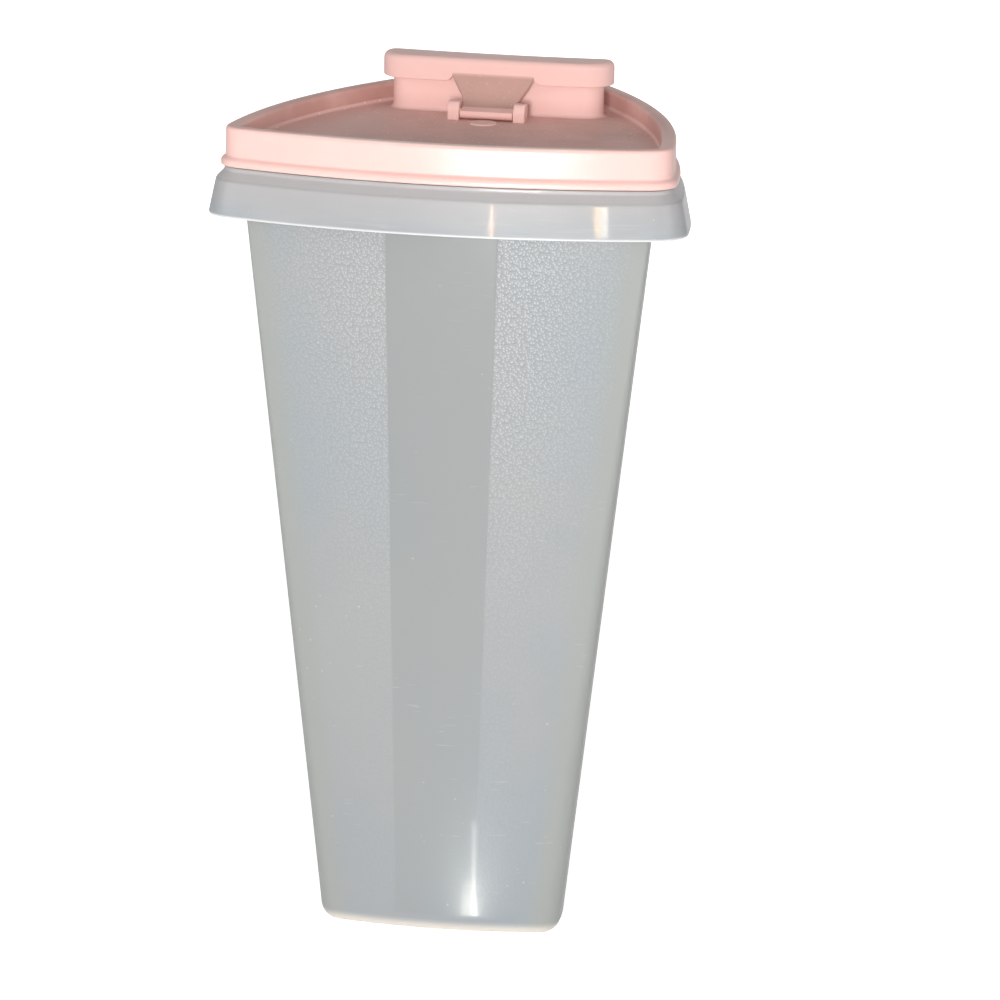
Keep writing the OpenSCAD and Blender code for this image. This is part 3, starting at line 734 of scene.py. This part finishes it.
for a, b in zip(up, dn):
    c = 0.3
    e = min(c, 0.3 * (a - b).length)
    d = (Vector((a.x, a.y)) - Vector((b.x, b.y)))
    d = d.normalized() if d.length > 1e-6 else Vector((0, 1))
    def P(x, q, s):
        return (x, H_Y + q.x + d.x * s, DECK_Z + q.y + d.y * s)
    srings.append([P(-a.z + c, a, 0), P(a.z - c, a, 0), P(a.z - 0.09, a, -0.09), P(a.z, a, -e), P(b.z, b, e), P(b.z - 0.09, b, 0.09), P(b.z - c, b, 0), P(-b.z + c, b, 0), P(-b.z + 0.09, b, 0.09), P(-b.z, b, e), P(-a.z, a, -e), P(-a.z + 0.09, a, -0.09)])
strap = loft("hinge_strap_sheet", srings, 50)
done(strap, "flip_cap", "pink_plastic", MAT_STRAP, "hinge_strap")

# ---------------------------------------------------------------- flip cap
N_A, N_C, N_S, N_R = FINE
def cap_low(off):
    """Lower edge of the skirt, with the notch over the strap."""
    out = []
    for x, y in plan(T_S, off):
        z = DECK_Z + CAP_Z
        if y < T_Y + 1:
            z += 1.5 * (1 - sstep((abs(x) - 11.9) / 1.6))
        out.append((x, y, z))
    return out
ci, co_ = CAP_OVER - CAP_T, CAP_OVER
def lift(r, dz):
    return [(x, y, z + dz) for x, y, z in r]
cr = [cap_low(ci + 0.15), cap_low(co_ - 0.35), lift(cap_low(co_ - 0.1), 0.1), lift(cap_low(co_), 0.35), lift(cap_low(co_), 0.6), c_ring(co_, CAP_R + 0.3)]
for k in range(0, 11):
    t = math.radians(9 * k)
    cr.append(c_ring(co_ - CAP_R * (1 - math.cos(t)), CAP_R * (1 - math.sin(t))))
# the top closes towards the middle in shrinking copies, slightly dished
edge = c_ring(co_ - CAP_R, 0)
mx = 0.0
my = sum(p[1] for p in edge) / len(edge)
for k in range(1, 13):
    s = 1 - k / 12.5
    row = []
    for x, y, z in edge:
        X, Y = mx + (x - mx) * s, my + (y - my) * s
        row.append((X, Y, CAP_TOP - fall(Y) - 0.25 * sstep((1 - s) * 3.0)))
    cr.append(row)
n_top = len(cr) - 1
inner = []
edge = c_ring(ci, CAP_T)
for k in range(12, 0, -1):
    s = 1 - k / 12.5
    row = []
    for x, y, z in edge:
        X, Y = mx + (x - mx) * s, my + (y - my) * s
        row.append((X, Y, CAP_TOP - CAP_T - fall(Y)))
    inner.append(row)
inner += [edge, c_ring(ci, CAP_T + 0.25), lift(cap_low(ci), 0.4), lift(cap_low(ci), 0.15)]
def cap_mesh():
    n = N_A + 2 * N_C + 2 * N_S + N_R
    v, f = [], []
    for r in cr:
        v += r
    off = len(v)
    for r in inner:
        v += r
    for j in range(len(cr) - 1):
        for i in range(n):
            k = (i + 1) % n
            f.append((j * n + i, j * n + k, (j + 1) * n + k, (j + 1) * n + i))
    f.append(tuple((len(cr) - 1) * n + i for i in range(n)))
    for j in range(len(inner) - 1):
        for i in range(n):
            k = (i + 1) % n
            f.append((off + j * n + i, off + j * n + k, off + (j + 1) * n + k, off + (j + 1) * n + i))
    f.append(tuple(off + i for i in reversed(range(n))))
    l = off + (len(inner) - 1) * n
    for i in range(n):
        k = (i + 1) % n
        f.append((l + i, l + k, k, i))
    return fix(new_object("flip_cap_body", v, f, 45))
cap = cap_mesh()
done(cap, "flip_cap", "pink_plastic", MAT_PINK, "flip_cap_shell")

sr = [c_ring(-3.9, CAP_T), c_ring(-3.9, lip + 0.9), c_ring(-3.75, lip + 1.15), c_ring(-3.3, lip + 1.2), c_ring(-2.85, lip + 1.15), c_ring(-2.7, lip + 0.9), c_ring(-2.7, CAP_T)]
done(band("cap_seal_lip", sr, 50), "flip_cap", "pink_plastic", MAT_PINK, "flip_cap_seal_ring")
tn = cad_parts["hinge_trunnions"]
for s in tn.material_slots:
    s.material = MAT_PINK

# ---------------------------------------------------------------- stage, light and camera
sc = bpy.context.scene
sc.view_settings.view_transform = "Standard"
sc.view_settings.look = "None"

fm, fnt, fp, fco = base_mat("pale_floor")
fp.inputs["Base Color"].default_value = (0.8, 0.8, 0.8, 1)
fp.inputs["Roughness"].default_value = 0.75
fp.inputs["Specular IOR Level"].default_value = 0.2
fp.inputs["Emission Color"].default_value = (1, 1, 1, 1)
fp.inputs["Emission Strength"].default_value = 0.74
# the floor looks white, and gives off less light than it shows, so it doesn't flood the front from below
dim = node(fnt, "ShaderNodeBsdfPrincipled", 600, -700)
dim.inputs["Base Color"].default_value = (0.8, 0.8, 0.8, 1)
dim.inputs["Roughness"].default_value = 0.75
dim.inputs["Emission Color"].default_value = (1, 1, 1, 1)
dim.inputs["Emission Strength"].default_value = 0.27
fmx = node(fnt, "ShaderNodeMixShader", 800, -300)
flp = node(fnt, "ShaderNodeLightPath", 400, -300)
fnt.links.new(flp.outputs["Is Camera Ray"], fmx.inputs[0])
fnt.links.new(dim.outputs[0], fmx.inputs[1])
fnt.links.new(fp.outputs[0], fmx.inputs[2])
for n_ in fnt.nodes:
    if n_.type == "OUTPUT_MATERIAL":
        fnt.links.new(fmx.outputs[0], n_.inputs[0])
me = bpy.data.meshes.new("floor")
me.from_pydata([(-6, -6, 0), (6, -6, 0), (6, 6, 0), (-6, 6, 0)], [], [(0, 1, 2, 3)])
floor = bpy.data.objects.new("floor", me)
sc.collection.objects.link(floor)
floor.location.z = -0.0004
me.materials.append(fm)

world = bpy.data.worlds.new("studio")
sc.world = world
world.use_nodes = True
wt = world.node_tree
wt.nodes.clear()
wo = wt.nodes.new("ShaderNodeOutputWorld")
b1 = wt.nodes.new("ShaderNodeBackground")
b2 = wt.nodes.new("ShaderNodeBackground")
mx_ = wt.nodes.new("ShaderNodeMixShader")
lp = wt.nodes.new("ShaderNodeLightPath")
b1.inputs[0].default_value = (1.0, 0.98, 0.95, 1)
b1.inputs[1].default_value = 0.26
b2.inputs[0].default_value = (1, 1, 1, 1)
b2.inputs[1].default_value = 1.0
# the backdrop shows white, and shines dimly in the satin plastic
gloss = wt.nodes.new("ShaderNodeMath")
gloss.operation = "MULTIPLY"
gloss.inputs[1].default_value = 0.5
wt.links.new(lp.outputs["Is Glossy Ray"], gloss.inputs[0])
see = wt.nodes.new("ShaderNodeMath")
see.operation = "MAXIMUM"
wt.links.new(lp.outputs["Is Camera Ray"], see.inputs[0])
wt.links.new(gloss.outputs[0], see.inputs[1])
wt.links.new(see.outputs[0], mx_.inputs[0])
wt.links.new(b1.outputs[0], mx_.inputs[1])
wt.links.new(b2.outputs[0], mx_.inputs[2])
wt.links.new(mx_.outputs[0], wo.inputs[0])

def area(name, loc, target, size, power, col=(1, 1, 1), size_y=None):
    li = bpy.data.lights.new(name, "AREA")
    li.energy = power
    li.color = col
    li.size = size
    if size_y:
        li.shape = "RECTANGLE"
        li.size_y = size_y
    o = bpy.data.objects.new(name, li)
    sc.collection.objects.link(o)
    o.location = loc
    d = Vector(target) - Vector(loc)
    o.rotation_euler = d.to_track_quat("-Z", "Y").to_euler()
    return o

def polar(az, el, dist, z0=0.13):
    a, e = math.radians(az), math.radians(el)
    return (dist * math.sin(a) * math.cos(e), -dist * math.cos(a) * math.cos(e), z0 + dist * math.sin(e))

key = area("key", polar(5, 9.5, 1.3, 0.17), (0, -0.05, 0.17), 0.3, 12.9, (1.0, 0.985, 0.965))
key.visible_glossy = False
area("fill_left", polar(-60, 15, 1.8), (0, 0, 0.13), 0.9, 3.7)
area("fill_right", polar(75, 15, 1.8), (0, 0, 0.13), 0.9, 4.3)
back_fill = area("fill_back", polar(180, 8, 1.8), (0, 0, 0.13), 0.9, 9.0)
back_fill.visible_glossy = False
# small bright lights that draw the narrow glints down the glossy skirt and the foot of the smooth band
def glint(name, px, py, az, el, w, h, power, col):
    a, e = math.radians(az), math.radians(el)
    area(name, (px + 2.6 * math.sin(a) * math.cos(e), py - 2.6 * math.cos(a) * math.cos(e), 0.213 + 2.6 * math.sin(e)), (px, py, 0.213), w, power, col, h)
glint("glint_a", 0.0478, -0.0625, 15.3, 11.4, 0.006, 0.09, 0.5, (1.0, 0.98, 0.92))
glint("glint_a_warm", 0.0470, -0.0627, 14.1, 11.6, 0.006, 0.08, 0.6, (1.0, 0.62, 0.2))
glint("glint_b", 0.0174, -0.067, -2.5, 11.4, 0.010, 0.1, 0.38, (1.0, 0.66, 0.38))
foot = area("glint_foot", (0.00985, -0.107, 0.0016), (0.00985, -0.107, 0.1), 0.0022, 0.016, (1.0, 0.97, 0.9), 0.09)
wide = area("glint_foot_wide", (0.0091, -0.079, 0.0017), (0.0091, -0.079, 0.1), 0.006, 0.009, (1.0, 0.96, 0.87), 0.034)
for o in (foot, wide):
    o.rotation_euler = (math.pi, 0.0, math.atan2(-0.0041, 0.1))
    o.visible_camera = False
    o.visible_diffuse = False
# soft sheen on the lid's front wall and on the tower
def sheen(name, px, py, pz, az, el, dist, w, h, power):
    a, e = math.radians(az), math.radians(el)
    o = area(name, (px + dist * math.sin(a) * math.cos(e), py - dist * math.cos(a) * math.cos(e), pz + dist * math.sin(e)), (px, py, pz), w, power, (1.0, 0.99, 0.97), h)
    o.visible_camera = False
    o.visible_diffuse = False
    return o
lid_sheen = sheen("sheen_lid", 0.022, -0.063, 0.2296, 0.0, -10.8, 0.18, 0.05, 0.03, 0.034)
lid_sheen.data.spread = math.radians(40)
lid_sheen.rotation_euler = (Vector((0.020, -0.063, 0.268)) - lid_sheen.location).to_track_quat("-Z", "Y").to_euler()
def spot(name, loc, target, power, cone, blend, soft=0.03):
    li = bpy.data.lights.new(name, "SPOT")
    li.energy = power
    li.spot_size = math.radians(cone)
    li.spot_blend = blend
    li.shadow_soft_size = soft
    o = bpy.data.objects.new(name, li)
    sc.collection.objects.link(o)
    o.location = loc
    o.rotation_euler = (Vector(target) - Vector(loc)).to_track_quat("-Z", "Y").to_euler()
    return o
spot("tower_side", (0.08, -0.62, 0.27), (0.028, 0.016, 0.229), 3.0, 3.6, 1.0)
# a soft pool on top of the cap
spot("cap_top", (0.0, 0.05, 0.6), (0.0, 0.05, 0.2), 0.8, 13, 0.7)

cam = bpy.data.cameras.new("camera")
cam.sensor_width = 36.0
cam.lens = 36.0 * 10722.57 / 1000.0
cam.clip_end = 50
co = bpy.data.objects.new("camera", cam)
sc.collection.objects.link(co)
right = Vector((0.97958539, 0.20032654, 0.01678504))
upv = Vector((-0.05989462, 0.21113565, 0.97561999))
back = Vector((0.19189866, -0.95670843, 0.21882388))
rot = Matrix((right, upv, back)).transposed()
co.matrix_world = Matrix.Translation(Vector((0.60615677, -2.98798216, 0.80082364))) @ rot.to_4x4()
sc.camera = co
